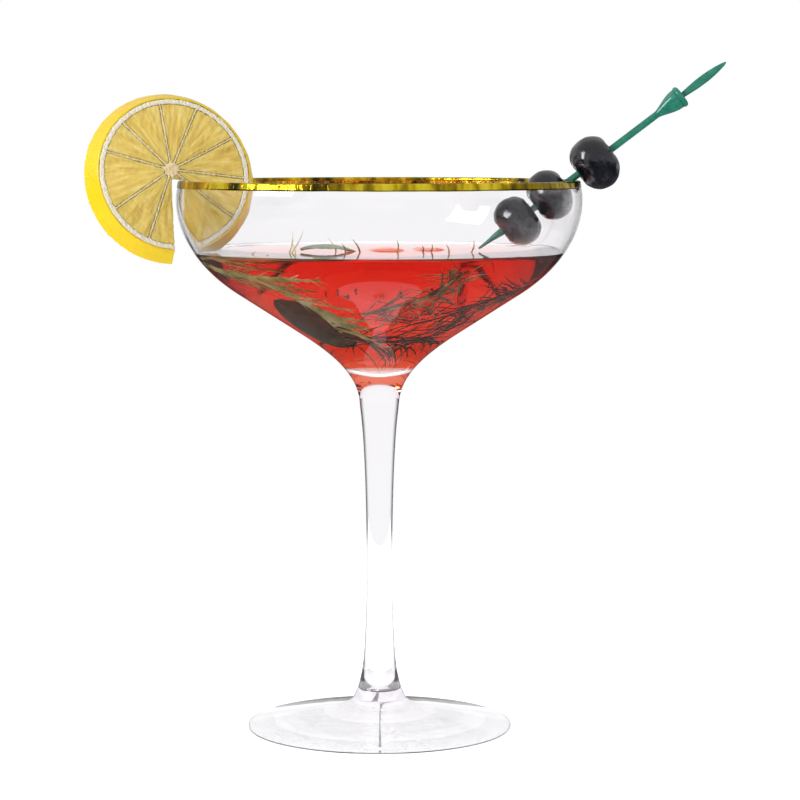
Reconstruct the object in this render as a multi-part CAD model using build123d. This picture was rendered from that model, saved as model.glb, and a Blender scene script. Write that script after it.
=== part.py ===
"""Stemmed cocktail glass with a gold lip, served with a drink and its garnish.

Millimetres, +Z up. The origin is the centre of the foot's underside.
"""
from build123d import *
from math import atan2, cos, hypot, radians, sin, tan
import os

# Glass
rim_radius = 60.0
glass_height = 165.4
wall = 1.3
bowl_depth = 66.4  # lip to the seam with the stem, outside
floor_thickness = 9.9  # solid glass between the bowl's floor and the seam
neck_radius = 5.95
waist_radius = 3.8
stem_foot_radius = 8.0
foot_radius = 39.8
foot_height = 9.0
foot_edge = 1.6
foot_shoulder_radius = 20.0
foot_shoulder_height = 5.2

# Gold band
band_thickness = 0.08
band_outside = 2.1
band_inside = 0.8

# Drink and ice
drink_drop = 21.3  # lip to the drink's surface
ice_clearance = 0.3
ice_above_drink = 0.8
ice_edge = 1.6
# each block: side, height, x, y, turn
ice_blocks = ((12.0, 12.0, 2.0, 3.5, 8.0), (8.5, 9.5, 15.0, 5.5, 36.0))

# Lemon wheel, cut near the end of the fruit, so its back face is the wider
wheel_thickness = 6.5
wheel_front_radius = 23.4
wheel_back_radius = 26.0
rind_thickness = 0.8
pith_thickness = 1.4
hub_radius = 2.1
hub_offset = (-0.9, 1.4)
membrane_thickness = 0.5
membrane_angles = (26, 64, 96, 134, 164, 213, 248, 276, 321, 353)
wheel_azimuth = 187.4  # where the wheel's middle stands, round the lip
wheel_beyond_rim = 1.7
wheel_above_rim = 1.3
wheel_yaw = 20.0
wheel_lean = 14.0
slit_clearance = 0.35
smallest_piece = 0.5  # mm3: thinner crumbs beside the slit fall away

# Pick
pick_length = 92.3
pick_tilt = 37.2
shaft_radius = 1.05
tip_radius = 0.3
taper_length = 8.0
pick_clearance = 0.2
tip_drop = 20.65  # lip to the pick's tip
pick_lane_clearance = 0.3  # where the pick or a berry dips into the drink
bud_start = 66.5
bud_length = 9.5
bud_radius = 3.1
collar_radius = 3.4
collar_length = 1.7
paddle_width = 3.0
paddle_thickness = 1.3
paddle_turn = 50.0  # about the pick, away from lying flat across the glass

# Berries: radius, half length along the pick, place along the pick from its tip
berries = ((8.0, 6.0, 14.4), (8.0, 6.0, 26.9), (8.3, 6.4, 43.3))
berry_fit = 0.05
berry_dimple = 1.4

# Herbs
herb_gap = 0.5  # clear of the glass and the ice
leaf_thickness = 0.6
knot_swell = 1.2  # a stalk is thicker where it bends

seam_height = glass_height - bowl_depth
floor_height = seam_height + floor_thickness
drink_level = glass_height - drink_drop
lip_radius = wall / 2
standing = (Align.CENTER, Align.CENTER, Align.MIN)
hanging = (Align.CENTER, Align.CENTER, Align.MAX)


def bowl_points():
    """The bowl's outside from the lip down: the lip's line, the shoulder curve's poles and the flank."""
    shares = (
        (1.0042, 0.0331),
        (1.0270, 0.1235),
        (1.0017, 0.3382),
        (0.7033, 0.5098),
        (0.4483, 0.6566),
    )
    lip = (rim_radius, glass_height - lip_radius)
    return [lip] + [(r * rim_radius, glass_height - d * bowl_depth) for r, d in shares]


def inset(points, distance):
    """An open outline's points moved towards the axis side of its legs by one distance."""
    legs = []
    for (r0, z0), (r1, z1) in zip(points, points[1:]):
        length = hypot(r1 - r0, z1 - z0)
        legs.append(((z1 - z0) / length, (r0 - r1) / length))
    moved = []
    for i, (r, z) in enumerate(points):
        before = legs[max(i - 1, 0)]
        after = legs[min(i, len(legs) - 1)]
        reach = distance / (1 + before[0] * after[0] + before[1] * after[1])
        moved.append((r + reach * (before[0] + after[0]), z + reach * (before[1] + after[1])))
    return moved


def turned(edges):
    """The solid of revolution of a closed outline given as (radius, height) edges."""
    face = make_face(Wire(edges))
    return revolve(Plane.XZ * face, Axis.Z)


def side_edges(points):
    """The lip's line, the shoulder curve and the flank, as edges."""
    return [Line(points[0], points[1]), Bezier(*points[1:5]), Line(points[4], points[5])]


def floor_corner(flank_end, flank_start):
    """Where the inside flank, carried on, would meet the floor's level."""
    slope = (flank_start[1] - flank_end[1]) / (flank_start[0] - flank_end[0])
    return (flank_end[0] - (flank_end[1] - floor_height) / slope, floor_height), slope


def inside_edges(distance):
    """The inside of the bowl, moved in by a further distance, from the lip to the axis."""
    points = inset(bowl_points(), wall + distance)
    corner, slope = floor_corner(points[5], points[4])
    corner = (corner[0] + distance / slope, corner[1] + distance)
    bend = corner[0] * 3
    round_start = (bend, corner[1] + (bend - corner[0]) * slope)
    points[5] = round_start
    edges = side_edges(points)
    edges.append(Bezier(round_start, corner, (0, corner[1])))
    return edges, points[0]


def bowl_space(distance, top):
    """The space inside the bowl, kept a distance off the glass, up to a height."""
    edges, start = inside_edges(distance)
    closing = [
        Line((0, floor_height + distance), (0, top)),
        Line((0, top), (start[0], top)),
        Line((start[0], top), start),
    ]
    return turned(edges + closing)


def make_bowl():
    outer = bowl_points()
    neck = (
        outer[5],
        (outer[5][0] * 0.71, outer[5][1] - (outer[4][1] - outer[5][1]) / (outer[4][0] - outer[5][0])
         * outer[5][0] * 0.29),
        (neck_radius * 1.087, seam_height + bowl_depth * 0.1551),
        (neck_radius, seam_height),
    )
    inner, lip_inside = inside_edges(0)
    edges = side_edges(outer)
    edges.append(Bezier(*neck))
    edges.append(Line((neck_radius, seam_height), (0, seam_height)))
    edges.append(Line((0, seam_height), (0, floor_height)))
    edges.extend(inner)
    edges.append(ThreePointArc(lip_inside, (rim_radius - lip_radius, glass_height), outer[0]))
    return turned(edges)


def lip_face(growth):
    """The lip's section, grown outwards by a distance, far enough down for the gold band."""
    outer = bowl_points()[:2]
    inner = inset(bowl_points(), wall)[:2]
    edges = [
        Line(outer[0], outer[1]),
        Line(outer[1], inner[1]),
        Line(inner[1], inner[0]),
        ThreePointArc(inner[0], (rim_radius - lip_radius, glass_height), outer[0]),
    ]
    face = make_face(Wire(edges))
    return offset(face, amount=growth) if growth else face


def make_gold_rim():
    outside = Pos(rim_radius, glass_height) * Rectangle(wall, 2 * band_outside)
    inside = Pos(rim_radius - wall, glass_height) * Rectangle(wall, 2 * band_inside)
    section = (lip_face(band_thickness) - lip_face(0)) & (outside + inside)
    return revolve(Plane.XZ * section, Axis.Z)


def make_stem():
    length = seam_height - foot_height
    shares = ((4.95, 0.885), (4.2, 0.70), (waist_radius, 0.43), (4.1, 0.27), (4.8, 0.13), (6.2, 0.047))
    middle = [(radius, foot_height + share * length) for radius, share in shares]
    top = (neck_radius, seam_height)
    bottom = (stem_foot_radius, foot_height)
    edges = [
        Spline(top, *middle, bottom, tangents=((-0.05, -1), (0.62, -0.78))),
        Line(bottom, (0, foot_height)),
        Line((0, foot_height), (0, seam_height)),
        Line((0, seam_height), top),
    ]
    return turned(edges)


def make_foot():
    start = (stem_foot_radius, foot_height)
    shoulder = (foot_shoulder_radius, foot_shoulder_height)
    edge_radius = foot_edge / 2
    edge_top = (foot_radius - edge_radius, foot_edge)
    slope = (shoulder[1] - edge_top[1]) / (edge_top[0] - shoulder[0])
    reach = (shoulder[0] - start[0]) / 2
    curl = (start[0] + 1.7, start[1] - 2.1)
    edges = [
        Bezier(start, curl, (shoulder[0] - reach, shoulder[1] + reach * slope), shoulder),
        Line(shoulder, edge_top),
        ThreePointArc(edge_top, (foot_radius, edge_radius), (edge_top[0], 0)),
        Line((edge_top[0], 0), (0, 0)),
        Line((0, 0), (0, foot_height)),
        Line((0, foot_height), start),
    ]
    return turned(edges)


def ice_block(side, height, x, y, turn, growth=0.0):
    """One block, or the straight-sided pocket that it stands in when it is grown."""
    top = drink_level + ice_above_drink
    if growth:
        width = side + 2 * growth
        lane = Box(width, width, height + glass_height, align=standing)
        lane = fillet(lane.edges().filter_by(Axis.Z), ice_edge)
        return Pos(x, y, top - height) * Rot(0, 0, turn) * lane
    block = Box(side, side, height, align=standing)
    block = fillet(block.edges().filter_by(Axis.Z), ice_edge)
    block = fillet(block.faces().sort_by(Axis.Z)[-1].edges(), ice_edge * 0.6)
    return Pos(x, y, top - height) * Rot(0, 0, turn) * block


def ice_lanes():
    """The pockets of every block, which run straight up so that a block lifts out."""
    lanes = [ice_block(*block, growth=ice_clearance) for block in ice_blocks]
    return lanes[0] + lanes[1:]


def make_drink(lanes, soaked):
    space = bowl_space(0, glass_height)
    below = Pos(0, 0, drink_level) * Cylinder(2 * rim_radius, glass_height, align=hanging)
    drink = (space & below) - lanes
    for lane in pick_lanes():
        drink = drink - lane
    for piece in soaked:
        drink = drink - piece
    return drink


def leaf(length, width, dome, place):
    """A thin domed leaf: an oval cut out of a spherical shell of the given dome radius."""
    shell = Sphere(dome) - Sphere(dome - leaf_thickness)
    blade = extrude(Pos(0, 0, dome - length / 2) * Ellipse(length / 2, width / 2), length)
    return place * Pos(0, 0, -dome) * (shell & blade)


def rod(start, end, start_radius, end_radius):
    """A straight round length of stalk or needle between two points, tapering."""
    direction = Vector(*end) - Vector(*start)
    plane = Plane(origin=start, z_dir=direction)
    if abs(start_radius - end_radius) < 0.01:
        return plane * Cylinder(start_radius, direction.length, align=standing)
    return plane * Cone(start_radius, end_radius, direction.length, align=standing)


def sprig(points, radius, needle_length, needle_radius, needles, spread):
    """A stalk along the points, with needles standing off it in turn all the way round."""
    parts = []
    turn = 0.0
    for start, end in zip(points, points[1:]):
        run = Vector(*end) - Vector(*start)
        frame = Plane(origin=start, z_dir=run)
        parts.append(rod(start, end, radius, radius))
        knot = Cylinder(radius * knot_swell, radius * 2.4)
        parts.append(Plane(origin=end, z_dir=run) * knot)
        for i in range(needles):
            turn += 137.5
            along = run.length * (i + 0.5) / needles
            reach = needle_length * sin(radians(spread))
            foot = frame.from_local_coords((0, 0, along))
            tip = frame.from_local_coords((
                reach * cos(radians(turn)),
                reach * sin(radians(turn)),
                along + needle_length * cos(radians(spread)),
            ))
            parts.append(rod(tuple(foot), tuple(tip), needle_radius, needle_radius * 0.5))
    return parts[0] + parts[1:]


def clear_herb(herb, lanes):
    """A herb trimmed to stay off the glass and out of the ice's way."""
    room = bowl_space(herb_gap, glass_height - lip_radius)
    kept = (herb & room) - lanes
    return max(kept.solids(), key=lambda solid: solid.volume)


def make_herbs(lanes):
    floating = Pos(-15.0, -6.0, drink_level + 2.2) * Rot(3, 4, 12)
    sunken = Pos(-17.0, -12.0, drink_level - 15.6) * Rot(107, 0, -42)
    herbs = {
        "sage_leaf_floating": leaf(17.0, 10.0, 22.0, floating),
        "sage_leaf_sunken": leaf(28.0, 16.0, 60.0, sunken),
    }
    level = drink_level - 144.1
    stalks = {
        "dill_sprig": (
            ((-48.6, -12.5, 142.3), (-44.0, -20.5, 140.8), (-34.0, -31.5, 138.6), (-19.0, -31.0, 130.6)),
            1.0, 8.5, 0.4, 5, 34,
        ),
        "rosemary_sprig_1": (
            ((-3.5, -31.5, 129.6), (7.5, -35.5, 132.4), (16.7, -38.0, 134.9), (23.5, -42.0, 141.3)),
            0.7, 8.0, 0.4, 5, 38,
        ),
        "rosemary_sprig_2": (
            ((-8.5, -17.0, 121.4), (3.0, -17.0, 120.2), (14.0, -14.5, 121.8), (24.0, -11.0, 127.0)),
            0.7, 7.5, 0.4, 5, 38,
        ),
        "rosemary_sprig_3": (
            ((39.5, -12.0, 137.0), (32.0, -21.0, 133.8), (22.0, -24.0, 129.2), (10.5, -24.5, 125.8)),
            0.7, 7.5, 0.4, 5, 40,
        ),
    }
    for name, (points, *sizes) in stalks.items():
        lifted = [(x, y, z + level) for x, y, z in points]
        herbs[name] = clear_herb(sprig(lifted, *sizes), lanes)
    return herbs


def wheel_plane():
    reach = rim_radius + wheel_beyond_rim
    origin = (
        reach * cos(radians(wheel_azimuth)),
        reach * sin(radians(wheel_azimuth)),
        glass_height + wheel_above_rim,
    )
    yaw = radians(wheel_yaw)
    lean = radians(wheel_lean)
    normal = (sin(yaw) * cos(lean), -cos(yaw) * cos(lean), sin(lean))
    return Plane(origin=origin, x_dir=(cos(yaw), sin(yaw), 0), z_dir=normal)


def wheel_disc(inset_by):
    """The whole wheel as a solid, smaller all round by the inset."""
    return Cone(wheel_back_radius - inset_by, wheel_front_radius - inset_by, wheel_thickness)


def slit_cutter():
    """What the glass sweeps through the wheel as it is lifted: the slit, open below."""
    bulge = max(r for r, z in bowl_points())
    top = glass_height + band_thickness + slit_clearance
    around = Pos(0, 0, top) * Cylinder(bulge + slit_clearance, glass_height, align=hanging)
    mouth = rim_radius - wall - band_thickness - slit_clearance
    within = bowl_space(slit_clearance, top) & Cylinder(mouth, 3 * glass_height)
    upper = Cylinder(2 * rim_radius, glass_height, align=standing)
    above_drink = Pos(0, 0, drink_level + slit_clearance) * upper
    return around - (within & above_drink)


def make_lemon():
    pulp = wheel_disc(rind_thickness + pith_thickness)
    walls = [Cylinder(hub_radius, wheel_thickness)]
    for angle in membrane_angles:
        sheet = Box(
            wheel_back_radius * 2,
            membrane_thickness,
            wheel_thickness,
            align=(Align.MIN, Align.CENTER, Align.CENTER),
        )
        walls.append(Rot(0, 0, angle) * sheet)
    membranes = (Pos(*hub_offset) * (walls[0] + walls[1:])) & pulp
    segments = (pulp - membranes).solids()
    segments.sort(key=lambda s: atan2(s.center().Y - hub_offset[1], s.center().X - hub_offset[0]))
    pieces = {
        "lemon_rind": wheel_disc(0) - wheel_disc(rind_thickness),
        "lemon_pith": wheel_disc(rind_thickness) - pulp,
        "lemon_membranes": membranes,
    }
    for number, segment in enumerate(segments, 1):
        pieces[f"lemon_segment_{number:02d}"] = segment
    place = wheel_plane()
    cutter = slit_cutter()
    cut = {}
    for name, piece in pieces.items():
        whole = (place * piece) - cutter
        solids = [solid for solid in whole.solids() if solid.volume > smallest_piece]
        cut[name] = solids[0] if len(solids) == 1 else Compound(children=solids)
    return cut


def pick_plane():
    """The pick's axis as a plane at its tip, with the shaft just clear of the lip that it leans on."""
    tilt = radians(pick_tilt)
    gap = lip_radius + band_thickness + shaft_radius + pick_clearance
    over_rim = (rim_radius - lip_radius - gap * sin(tilt), glass_height - lip_radius + gap * cos(tilt))
    tip_height = glass_height - tip_drop
    to_tip = (over_rim[1] - tip_height) / tan(tilt)
    along = (cos(tilt), 0, sin(tilt))
    return Plane(origin=(over_rim[0] - to_tip, 0, tip_height), x_dir=(0, 1, 0), z_dir=along)


def pick_lanes():
    """Straight pockets up out of the drink wherever the pick or a berry reaches below its surface."""
    plane = pick_plane()
    lanes = []
    radius = shaft_radius + pick_lane_clearance
    if plane.origin.Z - tip_radius - pick_lane_clearance < drink_level:
        start = plane * Pos(0, 0, -tip_radius) * Cylinder(radius, pick_length, align=standing)
        lanes.append(start)
        slab = Box(radius * 2, glass_height, pick_length, align=(Align.CENTER, Align.MIN, Align.MIN))
        lanes.append(plane * Pos(0, 0, -tip_radius) * slab)
    tilt = radians(pick_tilt)
    for radius, half_length, place in berries:
        middle = plane.from_local_coords((0, 0, place))
        reach = hypot(radius * cos(tilt), half_length * sin(tilt)) + pick_lane_clearance
        if middle.Z - reach < drink_level:
            pocket = Cylinder(radius + pick_lane_clearance, glass_height, align=standing)
            lanes.append(Pos(middle.X, middle.Y, middle.Z - reach) * pocket)
    return lanes


def make_pick():
    bud_end = bud_start + bud_length
    profile = [
        Line((0, 0), (tip_radius, 0)),
        Line((tip_radius, 0), (shaft_radius, taper_length)),
        Line((shaft_radius, taper_length), (shaft_radius, bud_start)),
        Bezier(
            (shaft_radius, bud_start),
            (shaft_radius, bud_start + bud_length * 0.3),
            (bud_radius, bud_start + bud_length * 0.35),
            (bud_radius, bud_end - collar_length),
        ),
        Line((bud_radius, bud_end - collar_length), (collar_radius, bud_end - collar_length)),
        Line((collar_radius, bud_end - collar_length), (collar_radius, bud_end)),
        Line((collar_radius, bud_end), (0, bud_end)),
        Line((0, bud_end), (0, 0)),
    ]
    paddle_length = pick_length - bud_end
    blade = Ellipse(paddle_width / 2, paddle_length / 2)
    blade = Rot(90, 0, 0) * extrude(blade, paddle_thickness / 2, both=True)
    blade = Pos(0, 0, bud_end + paddle_length / 2) * Rot(0, 0, paddle_turn) * blade
    root_length = collar_length + paddle_length * 0.3
    root = Pos(0, 0, bud_end - collar_length) * Cylinder(paddle_thickness * 0.75, root_length, align=standing)
    return pick_plane() * (turned(profile) + root + blade)


def make_berry(radius, half_length, place):
    bore = shaft_radius + berry_fit
    outline = [
        (bore, half_length - berry_dimple),
        (radius * 0.45, half_length),
        (radius * 0.84, half_length * 0.66),
        (radius, 0),
    ]
    mirrored = [(r, -z) for r, z in reversed(outline[:-1])]
    edges = [Spline(*outline, *mirrored), Line(mirrored[-1], outline[0])]
    return pick_plane() * Pos(0, 0, place) * turned(edges)


def make_all():
    lanes = ice_lanes()
    pieces = {
        "bowl": make_bowl(),
        "gold_rim": make_gold_rim(),
        "stem": make_stem(),
        "foot": make_foot(),
    }
    for number, block in enumerate(ice_blocks, 1):
        pieces[f"ice_block_{number}"] = ice_block(*block)
    herbs = make_herbs(lanes)
    pieces["drink"] = make_drink(lanes, herbs.values())
    pieces.update(herbs)
    pieces.update(make_lemon())
    pieces["cocktail_pick"] = make_pick()
    for number, berry in enumerate(berries, 1):
        pieces[f"blueberry_{number}"] = make_berry(*berry)
    return pieces


os.makedirs("parts", exist_ok=True)
for name, shape in make_all().items():
    export_step(shape, f"parts/{name}.step")
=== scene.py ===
import math
import bpy
import numpy as np
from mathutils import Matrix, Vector


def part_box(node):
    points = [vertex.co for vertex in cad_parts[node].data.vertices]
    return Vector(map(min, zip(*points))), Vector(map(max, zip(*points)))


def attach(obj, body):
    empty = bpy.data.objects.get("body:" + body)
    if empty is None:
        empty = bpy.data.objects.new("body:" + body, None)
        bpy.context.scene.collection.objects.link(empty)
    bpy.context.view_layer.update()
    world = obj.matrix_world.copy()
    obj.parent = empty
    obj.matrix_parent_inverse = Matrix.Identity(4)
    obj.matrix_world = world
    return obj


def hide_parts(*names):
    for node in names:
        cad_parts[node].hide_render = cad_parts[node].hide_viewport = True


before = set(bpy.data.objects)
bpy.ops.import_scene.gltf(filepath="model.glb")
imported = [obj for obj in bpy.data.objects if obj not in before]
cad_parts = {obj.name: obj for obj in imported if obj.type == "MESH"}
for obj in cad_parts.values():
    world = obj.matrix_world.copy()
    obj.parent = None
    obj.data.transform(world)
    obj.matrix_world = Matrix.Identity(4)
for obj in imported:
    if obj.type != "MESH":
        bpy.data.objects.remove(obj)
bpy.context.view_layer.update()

mm = 0.001
noTriangles = np.zeros((0, 3), int)
pi = math.pi


# shared mesh tools

def unit(vectors):
    # each vector divided by its own length
    return vectors / np.maximum(np.linalg.norm(vectors, axis=-1, keepdims=True), 1e-12)


def newObject(name, data):
    made = bpy.data.objects.new(name, data)
    bpy.context.scene.collection.objects.link(made)
    return made


def adopt(name, mesh, body, standsFor, material):
    mesh.materials.clear()
    mesh.materials.append(material)
    piece = newObject(name, mesh)
    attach(piece, body)
    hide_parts(*standsFor)
    return piece


def addMesh(name, shape, body, standsFor, material):
    # puts (verts, quads, tris) into a mesh, turned outwards by its signed volume, and registers the piece
    verts, quads, tris = shape
    faces = quads.tolist() + tris.tolist()
    corners = np.concatenate([quads[:, [0, 1, 2]], quads[:, [0, 2, 3]], tris])
    a, b, c = (verts[corners[:, i]] for i in range(3))
    if np.einsum("ij,ij->i", a, np.cross(b, c)).sum() < 0:
        faces = [face[::-1] for face in faces]
    mesh = bpy.data.meshes.new(name)
    mesh.from_pydata(verts.tolist(), [], faces)
    mesh.polygons.foreach_set("use_smooth", np.ones(len(mesh.polygons), bool))
    mesh.update()
    return adopt(name, mesh, body, standsFor, material)


def gridFaces(rows, columns, wrapRows=False):
    # quads between neighbouring points of a rows x columns grid that closes along its columns
    i = np.arange(rows if wrapRows else rows - 1)[:, None]
    j = np.arange(columns)[None, :]
    nextI = (i + 1) % rows
    nextJ = (j + 1) % columns
    corners = [i * columns + j, i * columns + nextJ, nextI * columns + nextJ, nextI * columns + j]
    return np.stack([np.broadcast_to(c, (len(i), columns)) for c in corners], -1).reshape(-1, 4)


def closedGrid(rings, first, last):
    # rings of points, one under another, with a single point closing each end
    rows, columns = rings.shape[:2]
    verts = np.concatenate([rings.reshape(-1, 3), first[None], last[None]])
    j = np.arange(columns)
    nextJ = (j + 1) % columns
    top = np.stack([np.full(columns, rows * columns), nextJ, j], -1)
    base = (rows - 1) * columns
    bottom = np.stack([np.full(columns, rows * columns + 1), base + j, base + nextJ], -1)
    return verts, gridFaces(rows, columns), np.concatenate([top, bottom])


def turned(section, segments):
    # each (radius, height) point as a ring round Z
    turn = np.linspace(0, 2 * pi, segments, endpoint=False)
    r, z = section[:, :1], section[:, 1:]
    return np.stack([r * np.cos(turn), r * np.sin(turn), z + 0 * turn], -1)


def lathe(profile, segments):
    # a profile turned round Z whose first and last points lie on the axis
    first, last = (np.array([0.0, 0.0, h]) for h in (profile[0, 1], profile[-1, 1]))
    return turned(profile[1:-1], segments), first, last


def markPoints(piece, name, rows, segments):
    # one value for each ring of a lathe's mesh, with those of its two end points last
    values = np.concatenate([np.repeat(rows[1:-1], segments), rows[[0, -1]]]).astype(np.float32)
    piece.data.attributes.new(name, "FLOAT", "POINT").data.foreach_set("value", values)


def tubes(paths, radii, sides, flat=1.0):
    # many closed tubes at once: paths (count, steps, 3), radii (count, steps), flattened by a factor
    count, steps = radii.shape
    along = unit(np.gradient(paths, axis=1))
    helper = np.where(np.abs(along[..., 2:3]) > 0.9, [1.0, 0.0, 0.0], [0.0, 0.0, 1.0])
    side = unit(np.cross(along, helper))
    up = np.cross(side, along)
    turn = np.linspace(0, 2 * pi, sides, endpoint=False)
    ring = np.cos(turn)[:, None] * side[:, :, None] + flat * np.sin(turn)[:, None] * up[:, :, None]
    rings = paths[:, :, None] + radii[:, :, None, None] * ring
    verts = np.concatenate([rings.reshape(-1, 3), paths[:, 0], paths[:, -1]])
    one = gridFaces(steps, sides)
    base = (np.arange(count) * steps * sides)[:, None, None]
    quads = (one[None] + base).reshape(-1, 4)
    j = np.arange(sides)
    nextJ = (j + 1) % sides
    total = count * steps * sides
    starts = base[:, :, 0]
    poleA = np.broadcast_to((total + np.arange(count))[:, None], (count, sides))
    poleB = poleA + count
    lastRing = starts + (steps - 1) * sides
    capA = np.stack([poleA, starts + nextJ, starts + j], -1)
    capB = np.stack([poleB, lastRing + j, lastRing + nextJ], -1)
    return verts, quads, np.concatenate([capA.reshape(-1, 3), capB.reshape(-1, 3)])


def joined(parts):
    # several (verts, quads, tris) shapes as one
    allVerts, allQuads, allTris, base = [], [], [], 0
    for verts, quads, tris in parts:
        allVerts.append(verts)
        allQuads.append(quads + base)
        allTris.append(tris + base)
        base += len(verts)
    return np.concatenate(allVerts), np.concatenate(allQuads), np.concatenate(allTris)


def bezier(points, count):
    # the cubic curve of four poles, sampled evenly in its parameter
    t = np.linspace(0, 1, count)[:, None]
    p = np.array(points, float)
    return (1 - t) ** 3 * p[0] + 3 * (1 - t) ** 2 * t * p[1] + 3 * (1 - t) * t ** 2 * p[2] + t ** 3 * p[3]


def curveThrough(points, count):
    # Catmull-Rom: each stretch is a cubic whose end slopes come from the neighbouring points
    p = np.array(points, float)
    p = np.concatenate([[2 * p[0] - p[1]], p, [2 * p[-1] - p[-2]]])
    t = np.linspace(0, len(points) - 1 - 1e-9, count)
    k = t.astype(int)
    f = (t - k)[:, None]
    a, b, c, d = (p[k + i] for i in range(4))
    bend, twist = 2 * a - 5 * b + 4 * c - d, 3 * b - a - 3 * c + d
    return 0.5 * (2 * b + (c - a) * f + bend * f ** 2 + twist * f ** 3)


def waves(points, size, seed, count=14):
    # smooth noise from -1 to 1: the mean of sine waves in seeded random directions
    rng = np.random.default_rng(seed)
    directions = unit(rng.normal(size=(count, 3))) * rng.uniform(0.6, 1.5, (count, 1)) * 2 * pi / size
    phases = rng.uniform(0, 2 * pi, count)
    return np.sin(points @ directions.T + phases).sum(-1) / math.sqrt(count)


def cells(u, v, seed):
    # distance to the nearest of one point per unit square, each placed by the far digits of a sine
    iu, iv = np.floor(u).astype(int), np.floor(v).astype(int)
    best = np.full(u.shape, 9.0)
    for du in (-1, 0, 1):
        for dv in (-1, 0, 1):
            a, b = iu + du, iv + dv
            h = np.sin(a * 127.1 + b * 311.7 + seed) * 43758.5453
            g = np.sin(a * 269.5 + b * 183.3 + seed) * 28001.8384
            pu, pv = a + h - np.floor(h), b + g - np.floor(g)
            best = np.minimum(best, np.hypot(u - pu, v - pv))
    return best


# shared material tools

def newMaterial(name):
    made = bpy.data.materials.new(name)
    made.use_nodes = True
    tree = made.node_tree
    return made, tree, tree.nodes["Principled BSDF"]


def feed(socket, value):
    # a plain value is set on the socket itself, and another node's output is linked to it
    if isinstance(value, bpy.types.NodeSocket):
        socket.id_data.links.new(value, socket)
    else:
        socket.default_value = value


def setInputs(node, **values):
    for key, value in values.items():
        feed(node.inputs[key.replace("_", " ")], value)


def arithmetic(tree, operation, *values):
    node = tree.nodes.new("ShaderNodeMath")
    node.operation = operation
    for socket, value in zip(node.inputs, values):
        feed(socket, value)
    return node.outputs[0]


def objectPoint(tree, scale=(1, 1, 1)):
    where = tree.nodes.new("ShaderNodeTexCoord")
    mapping = tree.nodes.new("ShaderNodeMapping")
    setInputs(mapping, Vector=where.outputs["Object"], Scale=scale)
    return mapping.outputs["Vector"]


def noise(tree, point, size, detail=4.0, roughness=0.55, distortion=0.0):
    # size is the width of a blotch in metres
    node = tree.nodes.new("ShaderNodeTexNoise")
    setInputs(node, Vector=point, Scale=1 / size, Detail=detail, Roughness=roughness, Distortion=distortion)
    return node.outputs["Fac"]


def voronoi(tree, point, size, feature="F1"):
    node = tree.nodes.new("ShaderNodeTexVoronoi")
    node.feature = feature
    setInputs(node, Vector=point, Scale=1 / size)
    return node.outputs["Distance"]


def ramp(tree, factor, stops):
    node = tree.nodes.new("ShaderNodeValToRGB")
    while len(node.color_ramp.elements) < len(stops):
        node.color_ramp.elements.new(0.5)
    for element, (place, colour) in zip(node.color_ramp.elements, stops):
        element.position = place
        element.color = (*colour, 1)
    setInputs(node, Fac=factor)
    return node.outputs["Color"]


def spread(tree, factor, low, high):
    # a 0 to 1 pattern carried to low..high
    node = tree.nodes.new("ShaderNodeMapRange")
    setInputs(node, Value=factor, To_Min=low, To_Max=high)
    return node.outputs["Result"]


def mixColour(tree, factor, first, second, how="MIX"):
    node = tree.nodes.new("ShaderNodeMix")
    node.data_type = "RGBA"
    node.blend_type = how
    feed(node.inputs[0], factor)
    for index, value in ((6, first), (7, second)):
        feed(node.inputs[index], (*value, 1) if isinstance(value, tuple) else value)
    return node.outputs[2]


def bump(tree, shader, height, depth, strength=1.0):
    # depth is the height of the relief in metres
    node = tree.nodes.new("ShaderNodeBump")
    setInputs(node, Strength=strength, Distance=depth, Height=height)
    setInputs(shader, Normal=node.outputs["Normal"])


def absorbing(tree, colour, density):
    # the longer light's way through the inside, the more of this colour it takes
    node = tree.nodes.new("ShaderNodeVolumeAbsorption")
    setInputs(node, Color=(*colour, 1), Density=density)
    setInputs(tree.nodes["Material Output"], Volume=node.outputs[0])


def reflectionByPoint(tree, shader, name, unmarked, marked):
    # the tint of reflections goes from one colour to the other by a value kept on the mesh's points
    stored = tree.nodes.new("ShaderNodeAttribute")
    stored.attribute_name = name
    setInputs(shader, Specular_Tint=mixColour(tree, stored.outputs["Fac"], unmarked, marked))


# camera, floor and light

camera = {"distance": 847.2, "height": 179.8, "aside": 6.2, "down": 5.41, "lens": 127.35, "sensor": 36.0}


def makeCamera():
    data = bpy.data.cameras.new("camera")
    data.lens = camera["lens"]
    data.sensor_width = camera["sensor"]
    data.clip_start = 0.05
    obj = newObject("camera", data)
    obj.location = (camera["aside"] * mm, -camera["distance"] * mm, camera["height"] * mm)
    obj.rotation_euler = (math.radians(90 - camera["down"]), 0, 0)
    bpy.context.scene.camera = obj
    bpy.context.scene.view_settings.view_transform = "Standard"


studio = {
    "backdrop": (1.0, 1.0, 1.0),
    "roomForSurfaces": 0.50,
    "flagDark": 0.06,
    "flagEdge": 0.45,
    "mirroredRoom": 0.03,
    "mirroredWindow": 0.85,
    "mirroredCeiling": 0.60,
    "mirroredFloor": (0.10, 0.10, 0.10),
    "floorPaint": (0.42, 0.42, 0.425),
    "floorGlow": (0.92, 0.915, 0.92),
    "floorHalf": 0.42,
    "lampSize": 0.42,
    "lampsFace": (0, 0, 0.13),
    "keyWatts": 7.0,
    "keyPlace": (-0.80, -0.46, 0.56),
    "fillWatts": 2.0,
    "fillPlace": (0.8, -0.35, 0.45),
}


def areaLight(name, place, watts):
    data = bpy.data.lights.new(name, "AREA")
    data.energy = watts
    data.size = studio["lampSize"]
    obj = newObject(name, data)
    obj.location = place
    obj.rotation_euler = (Vector(studio["lampsFace"]) - Vector(place)).to_track_quat("-Z", "Y").to_euler()
    return obj


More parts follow.
